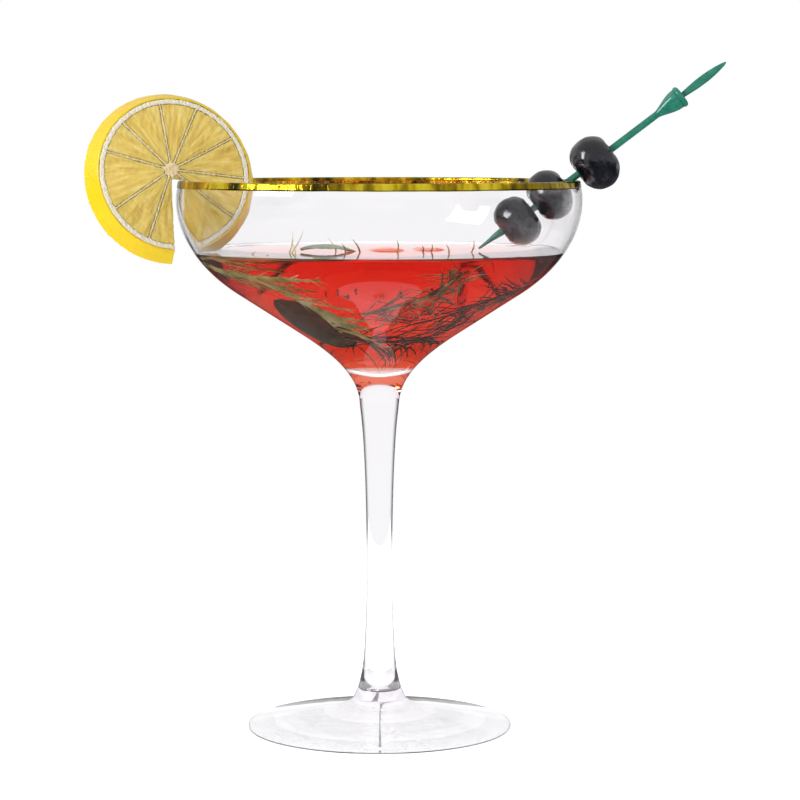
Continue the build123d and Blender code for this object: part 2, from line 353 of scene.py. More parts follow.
def makeWorld():
    # through glass the room is white with two upright dark flags on either side; mirrored in a surface it
    # is dark, with bright windows at eye level and a pale upper half
    world = bpy.data.worlds.new("studio")
    bpy.context.scene.world = world
    world.use_nodes = True
    tree = world.node_tree
    where = tree.nodes.new("ShaderNodeTexCoord")
    parts = tree.nodes.new("ShaderNodeSeparateXYZ")
    setInputs(parts, Vector=where.outputs["Generated"])
    azimuth = arithmetic(tree, "ARCTAN2", parts.outputs["Y"], parts.outputs["X"])
    height = arithmetic(tree, "MULTIPLY_ADD", parts.outputs["Z"], 0.5, 0.5)

    def around(count, stops, turn=0.0):
        wave = arithmetic(tree, "COSINE", arithmetic(tree, "MULTIPLY_ADD", azimuth, count, turn))
        return ramp(tree, arithmetic(tree, "MULTIPLY_ADD", wave, 0.5, 0.5), stops)

    white, black = (1.0,) * 3, (0.0,) * 3
    dark, edge, room, window, pale = ((studio[key],) * 3 for key in (
        "flagDark", "flagEdge", "mirroredRoom", "mirroredWindow", "mirroredCeiling"))
    flags = around(2, [(0.42, white), (0.64, edge), (0.78, dark), (0.94, dark), (0.975, white)])
    flagBand = ramp(tree, height, [(0.34, black), (0.37, white), (0.56, white), (0.60, black)])
    through = mixColour(tree, flagBand, white, flags)
    corners = around(4, [(0.86, room), (0.96, window)], pi)
    middles = around(2, [(0.88, room), (0.97, window)], pi)
    windows = mixColour(tree, 1.0, corners, middles, "LIGHTEN")
    windowBand = ramp(tree, height, [(0.42, black), (0.46, white), (0.52, white), (0.56, black)])
    ceiling = ramp(tree, height, [(0.50, room), (0.58, pale)])
    mirrored = mixColour(tree, windowBand, ceiling, windows)
    rays = tree.nodes.new("ShaderNodeLightPath")
    seen = mixColour(tree, rays.outputs["Is Reflection Ray"], through, mirrored)
    seen = mixColour(tree, rays.outputs["Is Diffuse Ray"], seen, (studio["roomForSurfaces"],) * 3)
    seen = mixColour(tree, rays.outputs["Is Camera Ray"], seen, studio["backdrop"])
    setInputs(tree.nodes["Background"], Color=seen)


def makeFloor():
    # a glowing matt floor that is dark to mirrored rays, so that glass doesn't wash out the drink
    size = studio["floorHalf"]
    corners = [(-size, -size, 0), (size, -size, 0), (size, size, 0), (-size, size, 0)]
    mesh = bpy.data.meshes.new("floor")
    mesh.from_pydata(corners, [], [(0, 1, 2, 3)])
    floor = newObject("floor", mesh)
    made, tree, shader = newMaterial("paleFloor")
    setInputs(shader, Base_Color=(*studio["floorPaint"], 1), Roughness=0.8, Specular_IOR_Level=0.0,
              Emission_Color=(*studio["floorGlow"], 1), Emission_Strength=1.0)
    mirrored = tree.nodes.new("ShaderNodeEmission")
    setInputs(mirrored, Color=(*studio["mirroredFloor"], 1))
    choose = tree.nodes.new("ShaderNodeMixShader")
    rays = tree.nodes.new("ShaderNodeLightPath")
    soft = arithmetic(tree, "SUBTRACT", 1.0, rays.outputs["Is Diffuse Ray"])
    share = arithmetic(tree, "MULTIPLY", rays.outputs["Is Reflection Ray"], soft)
    for socket, value in zip(choose.inputs, (share, shader.outputs[0], mirrored.outputs[0])):
        feed(socket, value)
    setInputs(tree.nodes["Material Output"], Surface=choose.outputs[0])
    mesh.materials.append(made)


makeCamera()
makeWorld()
makeFloor()
areaLight("keyLight", studio["keyPlace"], studio["keyWatts"])
fill = areaLight("fillLight", studio["fillPlace"], studio["fillWatts"])
fill.visible_glossy = False
fill.visible_transmission = False
print("studio ready")


# glass

glass = {
    "rim": 60.0, "height": 165.4, "wall": 1.3, "bowlDepth": 66.4, "floorThickness": 9.9,
    "neck": 5.95, "waist": 3.8, "stemFoot": 8.0, "foot": 39.8, "footHeight": 9.0, "footEdge": 1.6,
    "footShoulder": (20.0, 5.2), "segments": 288, "tint": (0.90, 0.80, 0.91), "tintDensity": 12.0,
    "dryReflection": (0.62, 0.60, 0.62), "wetAndShadedReflection": (0.10, 0.02, 0.015),
    "clear": (0.972, 0.966, 0.98), "waviness": 0.05,
    "paintedShadeShare": 0.9, "paintedShadeFrom": 2.0, "paintedShadeOver": 10.0, "wetPast": 0.2,
}
seamHeight = glass["height"] - glass["bowlDepth"]
floorHeight = seamHeight + glass["floorThickness"]
lipRadius = glass["wall"] / 2


def bowlPoints():
    # the outside from the lip down: lip line, four poles of the shoulder curve, end of the flank
    across = np.array([1.0042, 1.0270, 1.0017, 0.7033, 0.4483])
    down = np.array([0.0331, 0.1235, 0.3382, 0.5098, 0.6566])
    side = np.stack([across * glass["rim"], glass["height"] - down * glass["bowlDepth"]], -1)
    return np.concatenate([[(glass["rim"], glass["height"] - lipRadius)], side])


def inset(points, distance):
    # each point moved towards the axis side by one distance from both of its legs
    step = np.diff(points, axis=0)
    legs = np.stack([step[:, 1], -step[:, 0]], -1) / np.linalg.norm(step, axis=1, keepdims=True)
    before = np.concatenate([legs[:1], legs])
    after = np.concatenate([legs, legs[-1:]])
    return points + distance * (before + after) / (1 + (before * after).sum(1, keepdims=True))


def insideLine(distance, count=60):
    # the bowl's inside from the lip down to the axis, moved in by a distance
    points = inset(bowlPoints(), glass["wall"] + distance)
    slope = (points[4, 1] - points[5, 1]) / (points[4, 0] - points[5, 0])
    corner = np.array([points[5, 0] - (points[5, 1] - floorHeight) / slope, floorHeight])
    corner += (distance / slope, distance)
    bend = np.array([corner[0] * 3, corner[1] + corner[0] * 2 * slope])
    t = np.linspace(0, 1, count // 2)[1:, None]
    roundFloor = (1 - t) ** 2 * bend + 2 * (1 - t) * t * corner + t ** 2 * np.array([0, corner[1]])
    return np.concatenate([
        np.linspace(points[0], points[1], 4)[:-1],
        bezier(points[1:5], count)[:-1],
        np.linspace(points[4], bend, 12),
        roundFloor,
    ])


def lipArc(growth, count):
    # the half circle over the lip, from the inside to the outside
    turn = np.linspace(pi, 0, count)
    centre = np.array([glass["rim"] - lipRadius, glass["height"] - lipRadius])
    return centre + (lipRadius + growth) * np.stack([np.cos(turn), np.sin(turn)], -1)


def glassLine():
    # floor of the bowl, up the inside, over the lip, down the outside, stem and foot, to the middle below
    outer = bowlPoints()
    end = outer[5]
    slope = (outer[4, 1] - end[1]) / (outer[4, 0] - end[0])
    neckPoles = [
        end,
        (end[0] * 0.71, end[1] - slope * end[0] * 0.29),
        (glass["neck"] * 1.087, seamHeight + glass["bowlDepth"] * 0.1551),
        (glass["neck"], seamHeight),
    ]
    stemLength = seamHeight - glass["footHeight"]
    stemShares = ((4.95, 0.885), (4.2, 0.70), (glass["waist"], 0.43), (4.1, 0.27), (4.8, 0.13), (6.2, 0.047))
    stem = [(glass["neck"], seamHeight)] + [(r, glass["footHeight"] + s * stemLength) for r, s in stemShares]
    stem.append((glass["stemFoot"], glass["footHeight"]))
    start = np.array(stem[-1])
    shoulder = np.array(glass["footShoulder"])
    edge = glass["footEdge"] / 2
    edgeTop = np.array([glass["foot"] - edge, glass["footEdge"]])
    footSlope = (shoulder[1] - edgeTop[1]) / (edgeTop[0] - shoulder[0])
    reach = (shoulder[0] - start[0]) / 2
    footPoles = [start, start + (1.7, -2.1), shoulder + (-reach, reach * footSlope), shoulder]
    turn = np.linspace(pi / 2, -pi / 2, 11)
    roundEdge = np.array([edgeTop[0], edge]) + edge * np.stack([np.cos(turn), np.sin(turn)], -1)
    return np.concatenate([
        insideLine(0)[::-1],
        lipArc(0, 13)[1:-1],
        np.linspace(outer[0], outer[1], 4)[:-1],
        bezier(outer[1:5], 60)[:-1],
        np.linspace(outer[4], outer[5], 10)[:-1],
        bezier(neckPoles, 30)[:-1],
        curveThrough(stem, 80)[:-1],
        bezier(footPoles, 20)[:-1],
        np.linspace(shoulder, edgeTop, 16)[:-1],
        roundEdge,
        np.linspace(roundEdge[-1], (0, 0), 14)[1:],
    ])


def glassMaterial():
    made, tree, shader = newMaterial("clearGlass")
    setInputs(shader, Base_Color=(*glass["clear"], 1), Roughness=0.0, IOR=1.5, Transmission_Weight=1.0)
    drawn = noise(tree, objectPoint(tree, scale=(1, 1, 0.35)), 9 * mm, detail=1.5)
    bump(tree, shader, drawn, glass["waviness"] * mm)
    # reflections go dark red where marked: dim as wetted glass on the inside, with painted red, and painted
    # shade over the drink on the outside
    reflectionByPoint(tree, shader, "wetAndShaded", glass["dryReflection"], glass["wetAndShadedReflection"])
    absorbing(tree, glass["tint"], glass["tintDensity"])
    return made


def makeGlass():
    # marked where it hardly reflects: the inside up to the drink's level, which the drink wets, and the
    # outside below it, whose dark red reflection is painted shade over the drink
    line = glassLine()
    shape = closedGrid(*lathe(line * mm, glass["segments"]))
    piece = addMesh("glass_body", shape, "glass", ("bowl", "stem", "foot"), glassMaterial())
    inside = np.arange(len(line)) < len(insideLine(0))
    height = line[:, 1]
    shadedByDrink = np.clip((drinkLevel - glass["paintedShadeFrom"] - height) / glass["paintedShadeOver"], 0, 1)
    shadedByDrink *= height > floorHeight - 9.0
    wetAndShadedRows = np.where(inside, height < drinkLevel + glass["wetPast"], glass["paintedShadeShare"] * shadedByDrink)
    markPoints(piece, "wetAndShaded", wetAndShadedRows, glass["segments"])


# gold band

gold = {
    "thickness": 0.08, "bedding": 0.02, "outside": 2.1, "inside": 0.8, "unevenness": 0.05, "relief": 1.0,
    # colours: near-black to bright yellow, painted dark and bright reflections on the gold
    "colours": [(0.34, (0.06, 0.045, 0.006)), (0.47, (0.38, 0.26, 0.010)),
                (0.56, (0.85, 0.62, 0.02)), (0.66, (1.0, 0.82, 0.05))],
}


def goldMaterial():
    made, tree, shader = newMaterial("firedGold")
    point = objectPoint(tree, scale=(1, 1, 0.12))
    patches = noise(tree, point, 6 * mm, detail=4.5)
    brushed = noise(tree, point, 0.8 * mm, detail=3)
    # the base colour runs from near-black to bright yellow in upright streaks: painted dark and bright
    # reflections
    setInputs(shader, Base_Color=ramp(tree, patches, gold["colours"]), Metallic=1.0,
              Roughness=spread(tree, brushed, 0.03, 0.20))
    bump(tree, shader, patches, gold["relief"] * mm)
    return made


def makeGoldRim():
    # a thin skin over the lip whose lower edge drifts by three sines of the turn
    outer = bowlPoints()[:2]
    inner = inset(bowlPoints(), glass["wall"])[:2]
    outDirection = unit(outer[1] - outer[0])
    inDirection = unit(inner[1] - inner[0])
    line = np.concatenate([
        [inner[0] + inDirection * (gold["inside"] - lipRadius)],
        lipArc(0, 15),
        outer[0] + outDirection * np.linspace(0.3, gold["outside"] - lipRadius, 4)[:, None],
    ])
    step = np.gradient(line, axis=0)
    outward = unit(np.stack([-step[:, 1], step[:, 0]], -1))
    section = np.concatenate([line + outward * gold["thickness"], (line - outward * gold["bedding"])[::-1]])
    rings = turned(section * mm, glass["segments"])
    faces = gridFaces(*rings.shape[:2], wrapRows=True)
    turn = np.linspace(0, 2 * pi, glass["segments"], endpoint=False)
    drift = gold["unevenness"] * (np.sin(7 * turn + 1) + np.sin(17 * turn) + 0.6 * np.sin(41 * turn)) / 2
    low = len(line) - 1
    rings[low:low + 2, :, 2] += drift * mm
    shape = (rings.reshape(-1, 3), faces, noTriangles)
    addMesh("gold_band", shape, "glass", ("gold_rim",), goldMaterial())


# drink

drink = {
    "drop": 21.3, "intoGlass": 0.06, "creep": 0.45, "creepReach": 0.9375, "segments": 256, "ripple": 0.08,
    "density": 66.0, "colour": (0.95, 0.29, 0.05), "reflection": (0.75, 0.16, 0.10),
}
drinkLevel = glass["height"] - drink["drop"]


def drinkMaterial():
    made, tree, shader = newMaterial("redDrink")
    setInputs(shader, Base_Color=(1, 1, 1, 1), Roughness=0.0, IOR=1.34, Transmission_Weight=1.0)
    # where the drink lies against the glass its reflections are dimmed, as between glass and drink, and
    # painted red
    reflectionByPoint(tree, shader, "againstGlass", (1.0, 1.0, 1.0), drink["reflection"])
    ripple = noise(tree, objectPoint(tree), 14 * mm, detail=1.0)
    bump(tree, shader, ripple, drink["ripple"] * mm)
    absorbing(tree, drink["colour"], drink["density"])
    return made


def makeDrink():
    # the inside line up to the level, where the surface creeps up the glass by an exponential
    line = insideLine(-drink["intoGlass"], 90)[::-1]
    top = drinkLevel + drink["creep"]
    below = line[line[:, 1] < top]
    wallRadius = np.interp(top, line[:, 1], line[:, 0])
    away = np.concatenate([np.linspace(0.12, 9, 22) ** 1.35, np.linspace(21, wallRadius - 1, 12)])
    away = away[away < wallRadius - 0.5]
    crept = drink["creep"] * np.exp(-away / drink["creepReach"])
    surface = np.stack([wallRadius - away, drinkLevel + crept], -1)
    profile = np.concatenate([below, [(wallRadius, top)], surface, [(0, drinkLevel)]])
    shape = closedGrid(*lathe(profile * mm, drink["segments"]))
    piece = addMesh("red_drink", shape, "glass", ("drink",), drinkMaterial())
    markPoints(piece, "againstGlass", np.arange(len(profile)) <= len(below), drink["segments"])


makeGlass()
makeGoldRim()
makeDrink()
print("glass, gold band and drink ready")


# ice

ice = {
    "roundness": 0.34, "melt": 0.35, "shrink": 0.985, "poles": 0.97, "rows": 60, "columns": 96,
    "side": (12.0, 8.5), "height": (12.0, 9.5), "x": (2.0, 15.0), "y": (3.5, 5.5), "turn": (8.0, 36.0),
}


def iceMaterial():
    made, tree, shader = newMaterial("clearIce")
    setInputs(shader, Base_Color=(0.985, 0.99, 1.0, 1), Roughness=0.0, IOR=1.12, Transmission_Weight=1.0)
    melted = noise(tree, objectPoint(tree), 4 * mm, detail=3)
    bump(tree, shader, melted, 0.25 * mm)
    return made


def makeIce(number, made):
    # a superellipsoid: sines and cosines raised to a small power, so a ball squares into a block
    low, high = (np.array(c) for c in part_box(f"ice_block_{number}"))
    side, height, x, y, angle = (ice[key][number - 1] for key in ("side", "height", "x", "y", "turn"))
    u = np.linspace(-pi / 2, pi / 2, ice["rows"])[1:-1, None]
    v = np.linspace(0, 2 * pi, ice["columns"], endpoint=False)[None]

    def power(value):
        return np.sign(value) * np.abs(value) ** ice["roundness"]

    half = np.array([side / 2, side / 2, height / 2]) * mm
    rings = np.stack([power(np.cos(u)) * power(np.cos(v)), power(np.cos(u)) * power(np.sin(v)),
                      power(np.sin(u)) + 0 * v], -1)
    rings = rings * half * ice["shrink"]
    melted = 0.5 + 0.5 * waves(rings, 7 * mm, 30 + number)
    rings = rings - unit(rings) * ice["melt"] * mm * melted[..., None]
    c, s = math.cos(math.radians(angle)), math.sin(math.radians(angle))
    aboutZ = np.array([[c, -s, 0], [s, c, 0], [0, 0, 1]])
    centre = np.array([x * mm, y * mm, (low[2] + high[2]) / 2])
    pole = np.array([0, 0, half[2] * ice["poles"]])
    verts, quads, tris = closedGrid(rings, -pole, pole)
    addMesh(f"ice_{number}_clear", (verts @ aboutZ.T + centre, quads, tris),
            f"ice_{number}", (f"ice_block_{number}",), made)


clearIce = iceMaterial()
for number in (1, 2):
    makeIce(number, clearIce)
print("ice ready")


# sage leaves

sage = {"thickness": 0.55, "rows": 70, "columns": 40}
paleLeaf = {
    "length": 17.0, "width": 10.0, "dome": 22.0, "place": (-15.0, -6.0, drinkLevel + 2.2),
    "turns": (3, 4, 12), "colours": ((0.20, 0.30, 0.16), (0.42, 0.50, 0.36)),
}
# the sunken leaf has darker greens than the floating one: painted shade under the drink
shadedLeaf = {
    "length": 28.0, "width": 16.0, "dome": 60.0, "place": (-17.0, -12.0, drinkLevel - 15.6),
    "turns": (107, 0, -42), "colours": ((0.045, 0.11, 0.07), (0.10, 0.21, 0.13)),
}


def sageMaterial(name, base, light):
    made, tree, shader = newMaterial(name)
    point = objectPoint(tree)
    mottled = noise(tree, point, 3 * mm, detail=6)
    pebbles = voronoi(tree, point, 0.7 * mm)
    setInputs(shader, Base_Color=ramp(tree, mottled, [(0.3, base), (0.7, light)]), Roughness=0.62,
              Subsurface_Weight=0.35, Subsurface_Radius=(0.002, 0.003, 0.001), Subsurface_Scale=0.5,
              Sheen_Weight=0.25)
    bump(tree, shader, pebbles, 0.12 * mm)
    return made


def makeLeaf(name, node, leaf, materialName):
    # half the width is a sine along the length, the blade bends over a ball of the dome's radius, and the
    # midrib and the veins are pressed in
    length, width, dome = leaf["length"], leaf["width"], leaf["dome"]
    s = np.linspace(0.02, 0.98, sage["rows"])[:, None]
    t = np.linspace(-1, 1, sage["columns"])[None]
    half = width / 2 * np.sin(pi * s) ** 0.62
    x = (s - 0.5) * length + 0 * t
    y = half * t
    drop = dome - np.sqrt(np.maximum(dome ** 2 - x ** 2 - y ** 2, 1))
    rib = 0.30 * np.exp(-(y / 0.5) ** 2)
    veins = 0.10 * np.exp(-(np.sin((np.abs(y) * 0.8 - x) * 1.6) / 0.45) ** 2)
    scallop = 0.12 * np.sin(s * 60) * np.abs(t) ** 6
    thick = sage["thickness"] * (1 - 0.75 * t ** 6) * np.sin(pi * s) ** 0.3
    top = -drop - rib - veins
    upper = np.stack([x, y + scallop, top], -1)
    lower = np.stack([x, y + scallop, top - thick - rib * 0.6], -1)
    rings = np.concatenate([upper, lower[:, ::-1]], 1) * mm
    matrix = placed(leaf["place"], leaf["turns"])
    ends = [np.array([sign * length * 0.5, 0, top[row].mean()]) * mm for sign, row in ((-1, 0), (1, -1))]
    verts, quads, tris = closedGrid(rings, *ends)
    verts = verts @ matrix[:3, :3].T + matrix[:3, 3]
    material = sageMaterial(materialName, *leaf["colours"])
    addMesh(name, (verts, quads, tris), "glass", (node,), material)


def placed(place, turns):
    # a turn about X, then Y, then Z, and a move, as the frame's own parts are placed
    matrix = np.eye(4)
    for axis, angle in zip("XYZ", turns):
        c, s = math.cos(math.radians(angle)), math.sin(math.radians(angle))
        turn = {"X": [[1, 0, 0], [0, c, -s], [0, s, c]], "Y": [[c, 0, s], [0, 1, 0], [-s, 0, c]],
                "Z": [[c, -s, 0], [s, c, 0], [0, 0, 1]]}[axis]
        matrix[:3, :3] = matrix[:3, :3] @ np.array(turn)
    matrix[:3, 3] = np.array(place) * mm
    return matrix


makeLeaf("sage_leaf_pale", "sage_leaf_floating", paleLeaf, "paleSage")
makeLeaf("sage_leaf_dark", "sage_leaf_sunken", shadedLeaf, "shadedSage")
print("leaves ready")


# dill

dill = {
    "route": ((-49.6, -10.0, 142.8), (-44.6, -20.0, 141.0), (-34.0, -32.0, 138.8),
              (-20.0, -31.5, 131.0), (-10.5, -20.5, 123.0)),
    "strand": 0.27, "sides": 6, "steps": 8, "seed": 5, "ribs": 28, "threads": 6,
    "tips": ((-26.6, -12.0, 1.2, 6.6), (-26.2, -12.0, 4.0, 6.9), (-24.5, -14.0, -1.4, 3.2),
             (-12.6, -6.0, -2.8, 4.4)),
    "colours": ((0.24, 0.25, 0.05), (0.60, 0.62, 0.18), (0.98, 0.97, 0.52)),
}


def herbMaterial(name, dark, middleTone, light, size):
    made, tree, shader = newMaterial(name)
    point = objectPoint(tree)
    blotches = noise(tree, point, size, detail=5)
    setInputs(shader, Base_Color=ramp(tree, blotches, [(0.30, dark), (0.5, middleTone), (0.70, light)]),
              Roughness=0.42, Subsurface_Weight=0.2, Subsurface_Radius=(0.001, 0.0015, 0.0005),
              Subsurface_Scale=0.3)
    ridges = noise(tree, point, size * 0.2, detail=3)
    bump(tree, shader, ridges, 0.06 * mm)
    return made


def strands(starts, directions, lengths, sag, steps, rng):
    # each strand leaves along its direction and bends aside by a share of its length squared
    t = np.linspace(0, 1, steps)[None, :, None]
    bend = unit(rng.normal(size=directions.shape)) * sag
    bend[:, 2] -= sag * 0.5
    reach = lengths[:, None, None]
    return starts[:, None] + directions[:, None] * reach * t + bend[:, None] * reach * t ** 2


def taper(count, steps, thick, thin):
    return np.broadcast_to(np.linspace(thick, thin, steps)[None], (count, steps)).copy()


def makeDill():
    # a stalk, ribs that leave it, and forked threads that leave the ribs
    rng = np.random.default_rng(dill["seed"])
    route = curveThrough(dill["route"], 60)
    stalkRadius = np.interp(np.linspace(0, 1, 60), [0, 0.35, 0.5, 1], [1.05, 1.0, 0.6, 0.3])
    knot = 0.25 * np.exp(-((np.linspace(0, 1, 60) - 0.16) / 0.02) ** 2)
    parts = [tubes(route[None] * mm, (stalkRadius + knot)[None] * mm, 16)]
    ribCount = dill["ribs"]
    at = rng.uniform(0.12, 0.97, ribCount)
    starts = route[(at * 59).astype(int)]
    upper = at < 0.5
    sideways = rng.uniform(0.7, 1.0, ribCount)
    forwards = rng.uniform(-0.6, 0.0, ribCount) * np.where(upper, 1.3, 1.5)
    upwards = np.where(upper, rng.uniform(-0.16, 0.12, ribCount), rng.uniform(-0.50, 0.10, ribCount))
    aim = unit(np.stack([sideways, forwards, upwards], -1))
    ribs = strands(starts, aim, rng.uniform(8, 15, ribCount) * np.where(upper, 1.6, 1.0), 0.10, 12, rng)
    ribs[:, :, 2] = np.minimum(ribs[:, :, 2], drinkLevel - 1.2)
    parts.append(tubes(ribs * mm, taper(ribCount, 12, 0.58, 0.26) * mm, 8))
    rib = np.repeat(np.arange(ribCount), dill["threads"])
    where = rng.integers(2, 12, len(rib))
    base = ribs[rib, where]
    forward = unit(np.gradient(ribs, axis=1))[rib, where]
    aside = unit(rng.normal(size=forward.shape) * (1, 0.7, 1) + 0.8 * forward)
    aim = unit(forward * 0.9 + aside * 0.6)
    threads = strands(base, aim, rng.uniform(2.0, 5.5, len(rib)), 0.22, dill["steps"], rng)
    thickness = taper(len(rib), dill["steps"], dill["strand"], 0.08)
    parts.append(tubes(threads * mm, thickness * mm, dill["sides"]))
    parts.append(aboveSurface(dill["tips"], 0.20))
    verts, quads, tris = joined(parts)
    addMesh("dill_fronds", (insideBowl(verts), quads, tris), "glass", ("dill_sprig",),
            herbMaterial("dillGreen", *dill["colours"], 6 * mm))


def aboveSurface(tips, radius):
    # single needles that rise out of the drink, each from (x, y) below the surface to a tip above it
    t = np.linspace(0, 1, 7)[None, :, None]
    ends = np.array(tips, float)
    base = np.stack([ends[:, 0], ends[:, 1], np.full(len(ends), drinkLevel - 0.7)], -1)
    top = np.stack([ends[:, 0] + ends[:, 2], ends[:, 1], drinkLevel + ends[:, 3]], -1)
    bowed = base[:, None] * (1 - t) + top[:, None] * t + np.array([0.5, 0, 0]) * np.sin(pi * t)
    width = radius * (1 - 0.85 * np.linspace(0, 1, 7) ** 2)
    return tubes(bowed * mm, np.broadcast_to(width, (len(ends), 7)).copy() * mm, 7)


def insideBowl(verts):
    # points that would reach the glass are drawn in to just short of it
    line = insideLine(0.7, 90)[::-1]
    limit = np.interp(verts[:, 2] / mm, line[:, 1], line[:, 0]) * mm
    reach = np.hypot(verts[:, 0], verts[:, 1])
    shrink = np.minimum(1, limit / np.maximum(reach, 1e-9))
    verts[:, :2] *= shrink[:, None]
    return verts


# rosemary

rosemary = {
    "needle": 0.27, "flat": 0.7, "sides": 8, "steps": 8, "perSprig": 82,
    "tips": ((-10.0, -8.0, -1.0, 2.6), (-5.5, -9.0, -2.6, 4.0), (5.0, -6.0, 0.3, 3.6), (12.5, -8.0, 0.4, 2.0),
             (15.0, -9.0, 0.6, 2.6), (20.5, -10.0, -0.8, 2.6), (27.0, -9.0, 1.0, 3.8)),
    "routes": (
        ((-4.5, -31.0, 129.2), (7.5, -35.5, 132.4), (16.7, -38.0, 134.9), (23.5, -42.0, 141.3)),
        ((-9.5, -16.5, 121.8), (3.0, -17.0, 120.2), (14.0, -14.5, 121.8), (24.0, -11.0, 127.0)),
        ((41.5, -10.0, 138.0), (32.0, -21.0, 133.8), (22.0, -24.0, 129.2), (8.0, -25.0, 125.4)),
    ),
    # lit and shaded copies of the needles' colours: near-black is painted shade, pale tan is painted light
    "shadedColours": ((0.008, 0.016, 0.006), (0.020, 0.036, 0.013), (0.09, 0.09, 0.035)),
    "litColours": ((0.05, 0.055, 0.02), (0.26, 0.19, 0.08), (0.80, 0.58, 0.34)),
}


def makeRosemary(number, made):
    # a woody stem with needles scattered along it, each a flattened tube that widens and then comes to a
    # point
    rng = np.random.default_rng(100 + number)
    route = curveThrough(rosemary["routes"][number - 1], 50)
    parts = [tubes(route[None] * mm, np.linspace(0.75, 0.4, 50)[None] * mm, 10)]
    count = rosemary["perSprig"]
    at = np.sort(rng.uniform(0.02, 1.0, count))
    row = (at * 49).astype(int)
    along = unit(np.gradient(route, axis=0))[row]
    aside = unit(np.cross(along, rng.normal(size=along.shape)))
    lean = rng.uniform(0.7, 2.2, (count, 1)) * rng.choice([1, 1, 1, -1], (count, 1))
    direction = unit(along * lean + aside)
    starts = route[row] + aside * rng.uniform(0, 1.6, (count, 1))
    needles = strands(starts, direction, rng.uniform(8.0, 16.0, count), 0.14, rosemary["steps"], rng)
    needles[:, :, 2] = np.minimum(needles[:, :, 2], drinkLevel - 1.0 - rng.uniform(0, 4.0, (count, 1)))
    t = np.linspace(0, 1, rosemary["steps"])
    width = rosemary["needle"] * (0.45 + 0.75 * np.sin(pi * t ** 0.7) ** 0.8) * (1 - 0.75 * t ** 4)
    radii = np.broadcast_to(width[None], (count, len(t))) * rng.uniform(0.8, 1.2, (count, 1))
    parts.append(tubes(needles * mm, radii * mm, rosemary["sides"], rosemary["flat"]))
    if number == 1:
        parts.append(aboveSurface(rosemary["tips"], 0.30))
    verts, quads, tris = joined(parts)
    addMesh(f"rosemary_{number}", (insideBowl(verts), quads, tris), "glass",
            (f"rosemary_sprig_{number}",), made)


makeDill()
# the sprig near the front glass takes the pale copy, painted light, and the two further back take the
# near-black copy, painted shade
shadedNeedleGreen = herbMaterial("shadedNeedleGreen", *rosemary["shadedColours"], 6 * mm)
litNeedleGreen = herbMaterial("litNeedle", *rosemary["litColours"], 5 * mm)
for number, made in ((1, litNeedleGreen), (2, shadedNeedleGreen), (3, shadedNeedleGreen)):
    makeRosemary(number, made)
print("herbs ready")


# lemon wheel

lemon = {
    "azimuth": 187.4, "beyondRim": 1.7, "aboveRim": 1.3, "yaw": 20.0, "lean": 14.0,
    "hubOffset": (-0.9, 1.4), "pulpVoxel": 0.27, "skinVoxel": 0.22, "wallVoxel": 0.16,
    "sacDepth": 0.32, "sacLength": 7.5, "sacsPerRadian": 11.0,
    "radius": 25.0, "poreDepth": 0.16, "poreSpacing": 1.15, "poreWidth": 0.30,
}


def wheelFrame():
    yaw, lean, azimuth = (math.radians(lemon[key]) for key in ("yaw", "lean", "azimuth"))
    reach = glass["rim"] + lemon["beyondRim"]
    top = glass["height"] + lemon["aboveRim"]
    origin = np.array([reach * math.cos(azimuth), reach * math.sin(azimuth), top])
    right = np.array([math.cos(yaw), math.sin(yaw), 0])
    flat = math.cos(lean)
    normal = np.array([math.sin(yaw) * flat, -math.cos(yaw) * flat, math.sin(lean)])
    return origin * mm, np.stack([right, np.cross(normal, right), normal])


def refined(node, voxel, rounds):
    # the part's own solid as an even skin of small faces, with its edges softened
    copy = newObject("working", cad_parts[node].data.copy())
    weld = copy.modifiers.new("weld", "WELD")
    weld.merge_threshold = 0.01 * mm
    skin = copy.modifiers.new("skin", "REMESH")
    skin.mode = "VOXEL"
    skin.voxel_size = voxel * mm
    soften = copy.modifiers.new("soften", "SMOOTH")
    soften.factor = 0.5
    soften.iterations = rounds
    graph = bpy.context.evaluated_depsgraph_get()
    made = bpy.data.meshes.new_from_object(copy.evaluated_get(graph))
    bpy.data.objects.remove(copy)
    return made


def shapeMesh(mesh, change):
    # moves every point along its own normal by what change(points, normals) gives, in metres
    count = len(mesh.vertices)
    points = np.empty(count * 3, np.float32)
    normals = np.empty(count * 3, np.float32)
    mesh.vertices.foreach_get("co", points)
    mesh.vertex_normals.foreach_get("vector", normals)
    points = points.reshape(-1, 3).astype(float)
    normals = normals.reshape(-1, 3).astype(float)
    points += normals * change(points, normals)[:, None]
    mesh.vertices.foreach_set("co", points.astype(np.float32).ravel())
    mesh.polygons.foreach_set("use_smooth", np.ones(len(mesh.polygons), bool))
    mesh.update()


def onWheel(points):
    origin, axes = wheelFrame()
    return (points - origin) @ axes.T


def juiceSacs(points, normals):
    # long cells that point at the hub swell on both cut faces, and every point sinks a little inwards
    axes = wheelFrame()[1]
    local = onWheel(points) / mm
    x, y = local[:, 0] - lemon["hubOffset"][0], local[:, 1] - lemon["hubOffset"][1]
    radius = np.hypot(x, y)
    angle = np.arctan2(y, x)
    gap = cells(radius / 4.6, angle * 9.5, 3.7)
    facing = np.abs(normals @ axes[2])
    sac = lemon["sacDepth"] * (0.55 - gap) * np.clip(facing * 2 - 0.8, 0, 1)
    return (sac + 0.05 * waves(points, 1.6 * mm, 8)) * mm - 0.12 * mm


